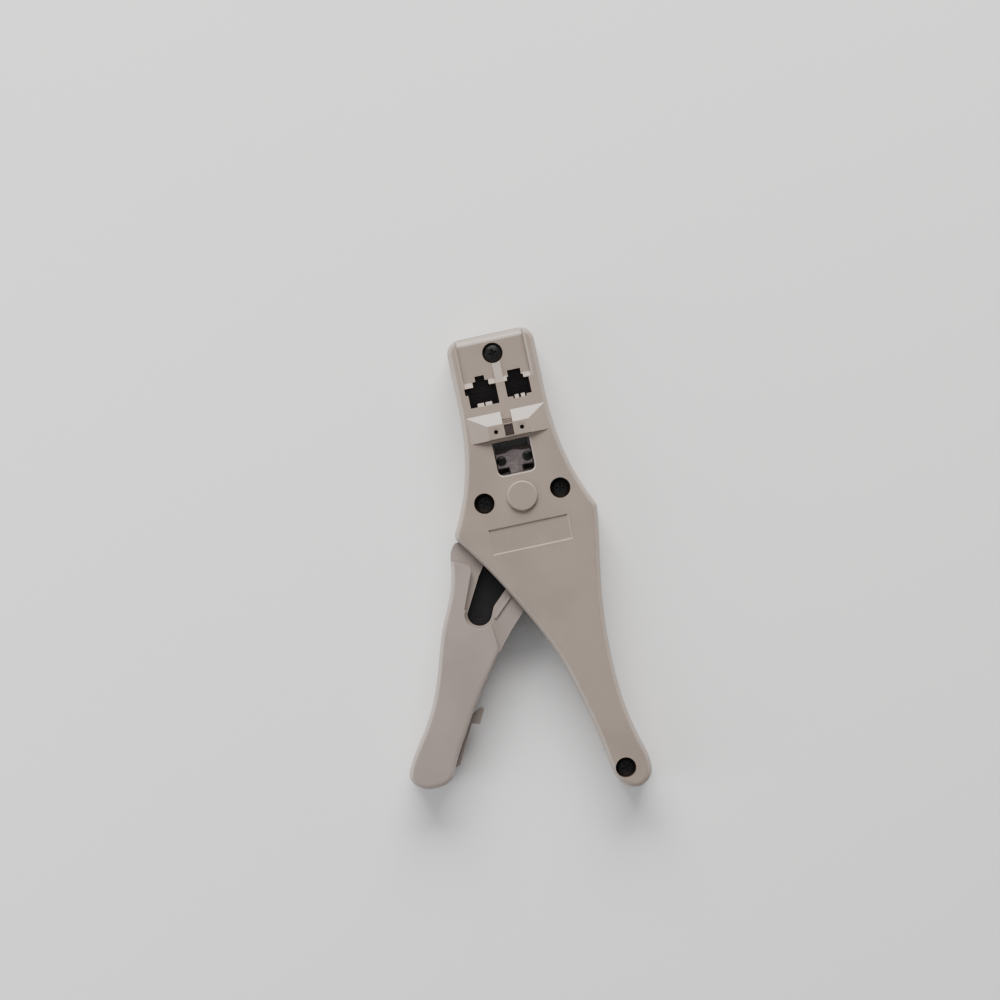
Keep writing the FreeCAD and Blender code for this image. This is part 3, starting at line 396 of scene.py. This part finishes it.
# %% [markdown]
# ## Softened mouldings and machined parts
# A moulded shell has no knife edges: the tool maker breaks every corner by a few tenths of a millimetre, and
# that thin rounded line is what catches the light. The CAD parts have only their large fillets. The small ones
# could be drawn in CAD, at the cost of a fragile model, or faked in a shader, which an export loses. A Bevel
# modifier on a cleaned copy gives real geometry. The copy's loose triangles are merged first, so that the
# modifier finds the sharp edges, and flat patches are dissolved, so that it runs along them cleanly.

# %% Soften a copy of a CAD part
def mark_corners(shape):
    """Gives every corner edge a bevel weight: steep ones, and shallow ones between two large flat faces."""
    weight = shape.edges.layers.float.new("bevel_weight_edge")
    corners = 0
    for edge in shape.edges:
        if len(edge.link_faces) != 2:
            continue
        angle = math.degrees(edge.calc_face_angle(0.0))
        smaller = min(face.calc_area() for face in edge.link_faces)
        if angle > steep_degrees or (angle > shallow_degrees and smaller > large_face_area):
            edge[weight] = 1.0
            corners += 1
    return corners


def softened(node_name, width_mm):
    source = frame["nodes"][node_name]
    shape = bmesh.new()
    shape.from_mesh(source.data)
    bmesh.ops.remove_doubles(shape, verts=shape.verts, dist=merge_distance)
    bmesh.ops.dissolve_limit(shape, angle_limit=math.radians(flat_degrees),
                             verts=shape.verts, edges=shape.edges)
    corners = mark_corners(shape)
    for face in shape.faces:
        face.smooth = True
    mesh = bpy.data.meshes.new(node_name + "_rounding")
    shape.to_mesh(mesh)
    shape.free()
    helper = bpy.data.objects.new(node_name + "_rounding", mesh)
    bpy.context.collection.objects.link(helper)
    rounding = helper.modifiers.new("broken edges", "BEVEL")
    rounding.width = width_mm * MM
    rounding.segments = rounding_segments
    rounding.limit_method = "WEIGHT"
    rounding.use_clamp_overlap = True
    levelled = helper.modifiers.new("level the flats", "WEIGHTED_NORMAL")
    levelled.mode = "FACE_AREA"
    levelled.weight = 100
    evaluated = helper.evaluated_get(bpy.context.evaluated_depsgraph_get())
    result = bpy.data.meshes.new_from_object(evaluated)
    result.name = node_name + "_soft"
    bpy.data.objects.remove(helper)
    result.materials.clear()
    print(node_name, "corners:", corners, "faces:", len(result.polygons))
    stand_in(node_name + "_soft", result, node_name)


rounding_segments = 2
merge_distance = 2e-6
flat_degrees = 0.5
steep_degrees = 22.0
shallow_degrees = 8.0
large_face_area = 8e-6
smooth_degrees = 40.0
broken_edges = {
    "front_shell": 0.22, "rear_shell": 0.22, "handle_front": 0.25, "handle_rear": 0.25, "lock_lever": 0.25,
    "ram": 0.12, "blade_clamp": 0.14, "cam_lever": 0.15, "counter_blade": 0.1,
    "eight_way_nest": 0.12, "six_way_nest": 0.12, "eight_way_contact_die": 0.06, "six_way_contact_die": 0.06,
    "eight_way_strain_presser": 0.1, "six_way_strain_presser": 0.1,
}
for node_name, width_mm in broken_edges.items():
    softened(node_name, width_mm)


# %% [markdown]
# ## Screws
# The shells are held by four black cross-head screws and the blade clamp by two small ones, the same shape at
# two sizes. One Geometry Nodes tree makes a screw from its own sizes and puts it on every point it is given,
# each turned by a random amount, as screws stop where they are tight. The sizes are the tree's inputs, so both
# sets come from one tree. The slotted die screws are hidden inside and keep their CAD shape.

# %% Helpers for geometry trees
def new_geometry_tree(name, sizes, whole_numbers=()):
    """Geometry tree with a points input, named sizes and a material. Returns the tree and its end nodes."""
    tree = bpy.data.node_groups.new(name, "GeometryNodeTree")
    tree.interface.new_socket("Geometry", in_out="INPUT", socket_type="NodeSocketGeometry")
    for label in sizes:
        tree.interface.new_socket(label, in_out="INPUT", socket_type="NodeSocketFloat")
    for label in whole_numbers:
        tree.interface.new_socket(label, in_out="INPUT", socket_type="NodeSocketInt")
    tree.interface.new_socket("Material", in_out="INPUT", socket_type="NodeSocketMaterial")
    tree.interface.new_socket("Geometry", in_out="OUTPUT", socket_type="NodeSocketGeometry")
    return tree, tree.nodes.new("NodeGroupInput"), tree.nodes.new("NodeGroupOutput")


def spread_and_finish(tree, given, result, unit, rotation):
    """Puts the unit on every given point, makes it real and gives it its material."""
    spread = place(tree, "GeometryNodeInstanceOnPoints", None,
                   {"Points": given.outputs["Geometry"], "Instance": unit, "Rotation": rotation})
    real = place(tree, "GeometryNodeRealizeInstances", None, {"Geometry": spread.outputs["Instances"]})
    finished = place(tree, "GeometryNodeSetMaterial", None,
                     {"Geometry": real.outputs["Geometry"], "Material": given.outputs["Material"]})
    tree.links.new(finished.outputs["Geometry"], result.inputs["Geometry"])


def grow_on_points(name, tree, points, values, node_name):
    """Runs a geometry tree on a set of points and returns the plain mesh it makes."""
    mesh = bpy.data.meshes.new(name + "_points")
    mesh.from_pydata(points, [], [])
    helper = bpy.data.objects.new(name + "_points", mesh)
    bpy.context.collection.objects.link(helper)
    grower = helper.modifiers.new("grow", "NODES")
    grower.node_group = tree
    sockets = {item.name: item.identifier for item in tree.interface.items_tree if item.in_out == "INPUT"}
    for label, value in values.items():
        grower[sockets[label]] = value
    grower[sockets["Material"]] = finishes[node_name]
    evaluated = helper.evaluated_get(bpy.context.evaluated_depsgraph_get())
    result = bpy.data.meshes.new_from_object(evaluated)
    result.name = name
    helper.modifiers.remove(grower)
    bpy.data.objects.remove(helper)
    result.set_sharp_from_angle(angle=math.radians(smooth_degrees))
    return result


def island_boxes(node_name):
    """Lowest and highest corner of each separate solid in a CAD part, from left to right."""
    shape = bmesh.new()
    shape.from_mesh(frame["nodes"][node_name].data)
    bmesh.ops.remove_doubles(shape, verts=shape.verts, dist=merge_distance)
    left_to_see = set(shape.verts)
    boxes = []
    while left_to_see:
        island, front = set(), [left_to_see.pop()]
        while front:
            vertex = front.pop()
            island.add(vertex)
            for edge in vertex.link_edges:
                other = edge.other_vert(vertex)
                if other in left_to_see:
                    left_to_see.remove(other)
                    front.append(other)
        corners = [[pick(v.co[axis] for v in island) for axis in range(3)] for pick in (min, max)]
        boxes.append((Vector(corners[0]), Vector(corners[1])))
    shape.free()
    return sorted(boxes, key=lambda box: box[0].x)


print("screws in the shells:", len(island_boxes("shell_screws")))


# %% The screw tree
head_facets = 48
head_rings = 8
shank_facets = 24
rim_pull = 0.07
recess_taper = 0.45


def vector_scaled(tree, vector, factor):
    """Multiplies x and y by a factor and leaves z."""
    parts = place(tree, "ShaderNodeSeparateXYZ", None, {0: vector})
    return place(tree, "ShaderNodeCombineXYZ", None, {
        0: math_node(tree, "MULTIPLY", parts.outputs[0], factor),
        1: math_node(tree, "MULTIPLY", parts.outputs[1], factor), 2: parts.outputs[2]}).outputs[0]


def make_screw_tree():
    """Domed head with a rounded rim and a tapered cross recess, on a plain shank. The seat is at z = 0."""
    tree, given, result = new_geometry_tree("cross head screws", [
        "Head Radius", "Head Height", "Dome", "Rim Pull", "Shank Radius", "Shank Length",
        "Recess Length", "Recess Width", "Recess Depth"], ["Turn Seed"])
    size = given.outputs
    disc = place(tree, "GeometryNodeMeshCylinder", {"fill_type": "TRIANGLE_FAN"},
                 {"Vertices": head_facets, "Side Segments": head_rings, "Fill Segments": head_rings,
                  "Radius": size["Head Radius"], "Depth": size["Head Height"]})
    half = math_node(tree, "MULTIPLY", size["Head Height"], 0.5)
    lift = place(tree, "ShaderNodeCombineXYZ", None, {2: half})
    raised = place(tree, "GeometryNodeSetPosition", None,
                   {"Geometry": disc.outputs["Mesh"], "Offset": lift.outputs[0]})
    where = place(tree, "GeometryNodeInputPosition").outputs[0]
    parts = place(tree, "ShaderNodeSeparateXYZ", None, {0: where})
    across = math_node(tree, "SQRT", math_node(tree, "ADD", math_node(tree, "POWER", parts.outputs[0], 2.0),
                                               math_node(tree, "POWER", parts.outputs[1], 2.0)))
    share_out = math_node(tree, "DIVIDE", across, size["Head Radius"])
    share_up = math_node(tree, "DIVIDE", parts.outputs[2], size["Head Height"])
    dome_drop = math_node(tree, "MULTIPLY", math_node(tree, "MULTIPLY", size["Dome"], share_up),
                          math_node(tree, "POWER", share_out, 2.0))
    rim = math_node(tree, "MULTIPLY", size["Rim Pull"], math_node(tree, "POWER", share_up, 5.0))
    pulled = vector_scaled(tree, where, math_node(tree, "SUBTRACT", 1.0, rim))
    dropped = place(tree, "ShaderNodeVectorMath", {"operation": "SUBTRACT"}, {
        0: pulled, 1: place(tree, "ShaderNodeCombineXYZ", None, {2: dome_drop}).outputs[0]})
    head = place(tree, "GeometryNodeSetPosition", None,
                 {"Geometry": raised.outputs[0], "Position": dropped.outputs[0]})
    wings = []
    twice_deep = math_node(tree, "MULTIPLY", size["Recess Depth"], 2.0)
    for long_x, long_y in (("Recess Length", "Recess Width"), ("Recess Width", "Recess Length")):
        measure = place(tree, "ShaderNodeCombineXYZ", None, {0: size[long_x], 1: size[long_y], 2: twice_deep})
        bar = place(tree, "GeometryNodeMeshCube", None, {"Size": measure.outputs[0]})
        low = math_node(tree, "LESS_THAN", parts.outputs[2], 0.0)
        narrower = math_node(tree, "SUBTRACT", 1.0, math_node(tree, "MULTIPLY", low, recess_taper))
        tapered = place(tree, "GeometryNodeSetPosition", None,
                        {"Geometry": bar.outputs["Mesh"], "Position": vector_scaled(tree, where, narrower)})
        top = place(tree, "ShaderNodeCombineXYZ", None, {2: size["Head Height"]})
        wings.append(place(tree, "GeometryNodeSetPosition", None,
                           {"Geometry": tapered.outputs[0], "Offset": top.outputs[0]}).outputs[0])
    sunk = place(tree, "GeometryNodeMeshBoolean", {"operation": "DIFFERENCE", "solver": "EXACT"},
                 {"Mesh 1": head.outputs[0]})
    for wing in wings:
        tree.links.new(wing, sunk.inputs["Mesh 2"])
    shank = place(tree, "GeometryNodeMeshCylinder", None,
                  {"Vertices": shank_facets, "Radius": size["Shank Radius"], "Depth": size["Shank Length"]})
    half_down = math_node(tree, "MULTIPLY", size["Shank Length"], -0.5)
    below = place(tree, "ShaderNodeCombineXYZ", None, {2: half_down})
    hung = place(tree, "GeometryNodeSetPosition", None,
                 {"Geometry": shank.outputs["Mesh"], "Offset": below.outputs[0]})
    joined = place(tree, "GeometryNodeJoinGeometry")
    for geometry in (sunk.outputs["Mesh"], hung.outputs[0]):
        tree.links.new(geometry, joined.inputs[0])
    smooth = place(tree, "GeometryNodeSetShadeSmooth", None, {"Geometry": joined.outputs[0]})
    turn = place(tree, "FunctionNodeRandomValue", {"data_type": "FLOAT"},
                 {"Min": 0.0, "Max": math.pi / 2, "Seed": size["Turn Seed"]})
    rotation = place(tree, "ShaderNodeCombineXYZ", None, {2: turn.outputs[1]})
    spread_and_finish(tree, given, result, smooth.outputs[0], rotation.outputs[0])
    return tree


screw_tree = make_screw_tree()
print("geometry tree:", screw_tree.name)


# %% Shell screws and clamp screws
def screw_set(node_name, head_height, dome, shank_radius, recess, seed):
    """Screws with upright heads, where the CAD part has its own."""
    boxes = island_boxes(node_name)
    low, high = boxes[0]
    seat_z = high.z - head_height
    points = [((a.x + b.x) / 2, (a.y + b.y) / 2, seat_z) for a, b in boxes]
    length, width, depth = recess
    mesh = grow_on_points(node_name + "_turned", screw_tree, points, {
        "Head Radius": (high.x - low.x) / 2, "Head Height": head_height, "Dome": dome, "Rim Pull": rim_pull,
        "Shank Radius": shank_radius, "Shank Length": seat_z - low.z,
        "Recess Length": length, "Recess Width": width, "Recess Depth": depth, "Turn Seed": seed}, node_name)
    piece = stand_in(node_name + "_turned", mesh, node_name)
    print(piece.name, "screws:", len(points), "faces:", len(mesh.polygons))


screw_set("shell_screws", 2.2 * MM, 0.7 * MM, 1.4 * MM, (4.4 * MM, 0.95 * MM, 1.4 * MM), seed=4)
screw_set("clamp_screws", 1.2 * MM, 0.35 * MM, 1.0 * MM, (2.4 * MM, 0.55 * MM, 0.8 * MM), seed=9)


# %% [markdown]
# ## Return springs
# Two compression springs push the ram back. A spring's wire has a steady pitch between two closed end coils
# that lie almost flat, so it stands square on its seat. A helix could be swept in CAD, but here a spiral curve is
# made in Geometry Nodes, its height is remapped to close the ends, and a round wire follows it.

# %% The spring tree
coil_resolution = 28
wire_facets = 10
closed_coil_rise = 2.05  # rise of a closed end coil, in wire radii


def make_spring_tree():
    tree, given, result = new_geometry_tree("return springs", ["Coil Radius", "Wire Radius", "Length", "Turns"])
    size = given.outputs
    spiral = place(tree, "GeometryNodeCurveSpiral", None,
                   {"Resolution": coil_resolution, "Rotations": size["Turns"],
                    "Start Radius": size["Coil Radius"], "End Radius": size["Coil Radius"], "Height": size["Length"]})
    along = place(tree, "GeometryNodeSplineParameter").outputs["Factor"]
    one_turn = math_node(tree, "DIVIDE", 1.0, size["Turns"])
    last_turn = math_node(tree, "SUBTRACT", 1.0, one_turn)
    closed_rise = math_node(tree, "MULTIPLY", size["Wire Radius"], closed_coil_rise)
    open_rise = math_node(tree, "SUBTRACT", size["Length"], math_node(tree, "MULTIPLY", closed_rise, 2.0))
    first = remap(tree, along, 0.0, one_turn, 0.0, closed_rise, smooth=False)
    between = remap(tree, along, one_turn, last_turn, 0.0, open_rise, smooth=False)
    last = remap(tree, along, last_turn, 1.0, 0.0, closed_rise, smooth=False)
    height = math_node(tree, "ADD", math_node(tree, "ADD", first, between), last)
    where = place(tree, "GeometryNodeInputPosition").outputs[0]
    parts = place(tree, "ShaderNodeSeparateXYZ", None, {0: where})
    placed = place(tree, "ShaderNodeCombineXYZ", None, {0: parts.outputs[0], 1: parts.outputs[1], 2: height})
    coiled = place(tree, "GeometryNodeSetPosition", None,
                   {"Geometry": spiral.outputs[0], "Position": placed.outputs[0]})
    ring = place(tree, "GeometryNodeCurvePrimitiveCircle", None,
                 {"Resolution": wire_facets, "Radius": size["Wire Radius"]})
    wire = place(tree, "GeometryNodeCurveToMesh", None,
                 {"Curve": coiled.outputs[0], "Profile Curve": ring.outputs[0], "Fill Caps": True})
    smooth = place(tree, "GeometryNodeSetShadeSmooth", None, {"Geometry": wire.outputs[0]})
    upright = place(tree, "ShaderNodeCombineXYZ", None, {0: -math.pi / 2})
    spread_and_finish(tree, given, result, smooth.outputs[0], upright.outputs[0])
    return tree


spring_tree = make_spring_tree()
spring_boxes = island_boxes("ram_springs")
low, high = spring_boxes[0]
wire_radius = 0.3 * MM
spring_turns = 7.5
seats = [((a.x + b.x) / 2, a.y + wire_radius, (a.z + b.z) / 2) for a, b in spring_boxes]
spring_mesh = grow_on_points("ram_springs_wound", spring_tree, seats, {
    "Coil Radius": (high.z - low.z) / 2 - wire_radius, "Wire Radius": wire_radius,
    "Length": high.y - low.y - 2 * wire_radius, "Turns": spring_turns}, "ram_springs")
springs = stand_in("ram_springs_wound", spring_mesh, "ram_springs")
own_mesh(springs)


# %% [markdown]
# ## Floor, light and camera
# The tool lies on a plain pale floor. One large softbox stands past the head and lights every face that looks
# that way, which is what makes the guard's slopes bright. A wide weak light overhead fills the rest, and a low
# one on the left draws the edges there. The camera hangs straight above the front face, turned so that the tool
# leans to the left.

# %% Floor
floor_half_width = 1.5
floor_gap = 0.0002


def pale_floor():
    half = floor_half_width
    mesh = bpy.data.meshes.new("floor")
    corners = [(-half, -half, 0), (half, -half, 0), (half, half, 0), (-half, half, 0)]
    mesh.from_pydata(corners, [], [(0, 1, 2, 3)])
    floor = bpy.data.objects.new("floor", mesh)
    bpy.context.collection.objects.link(floor)
    material, tree, shader = new_finish("pale floor")
    grain = use_group(tree, mould_grain, Pebble_Size_mm=1.0, Cloud_Size_mm=200.0)
    colour = mix_colour(tree, grain.outputs["Cloud"], (0.90, 0.895, 0.89, 1.0), (0.93, 0.925, 0.92, 1.0))
    tree.links.new(colour, shader.inputs["Base Color"])
    shader.inputs["Roughness"].default_value = 0.8
    mesh.materials.append(material)
    floor.location.z = -floor_gap
    return floor


pale_floor()


# %% Lights
def softbox(name, place_at, look_at, size, watts, colour=(1.0, 1.0, 1.0)):
    lamp = bpy.data.lights.new(name, "AREA")
    lamp.shape = "RECTANGLE"
    lamp.size, lamp.size_y = size
    lamp.energy = watts
    lamp.color = colour
    stand = bpy.data.objects.new(name, lamp)
    stand.location = place_at
    aim = Vector(look_at) - Vector(place_at)
    stand.rotation_euler = aim.to_track_quat("-Z", "Y").to_euler()
    bpy.context.collection.objects.link(stand)


middle = (-0.015, -0.03, 0.0)
softbox("key softbox", (0.2, 1.65, 1.13), middle, (1.9, 1.2), 87.0, (1.0, 0.985, 0.965))
softbox("overhead fill", (-0.1, -0.1, 1.6), middle, (1.6, 1.6), 3.0)
softbox("left rim", (-0.9, -0.1, 0.45), middle, (0.5, 0.9), 5.0, (0.95, 0.97, 1.0))

world = bpy.data.worlds.new("studio")
bpy.context.scene.world = world
world.use_nodes = True
world.node_tree.nodes["Background"].inputs["Color"].default_value = (0.9, 0.92, 0.95, 1.0)
world.node_tree.nodes["Background"].inputs["Strength"].default_value = 0.22


# %% Camera
tool_lean = math.radians(12.06)
camera_height = 1.2
field_width = 0.4049
front_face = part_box("rear_shell")[1][2] * 2
lens = bpy.data.cameras.new("camera")
lens.sensor_width = 36.0
lens.lens = 36.0 * camera_height / field_width
lens.clip_end = 10.0
camera = bpy.data.objects.new("camera", lens)
camera.location = (-0.0092, 0.00015, front_face + camera_height)
camera.rotation_euler = (0.0, 0.0, -tool_lean)
bpy.context.collection.objects.link(camera)
bpy.context.scene.camera = camera
print("camera height:", round(camera.location.z, 4))
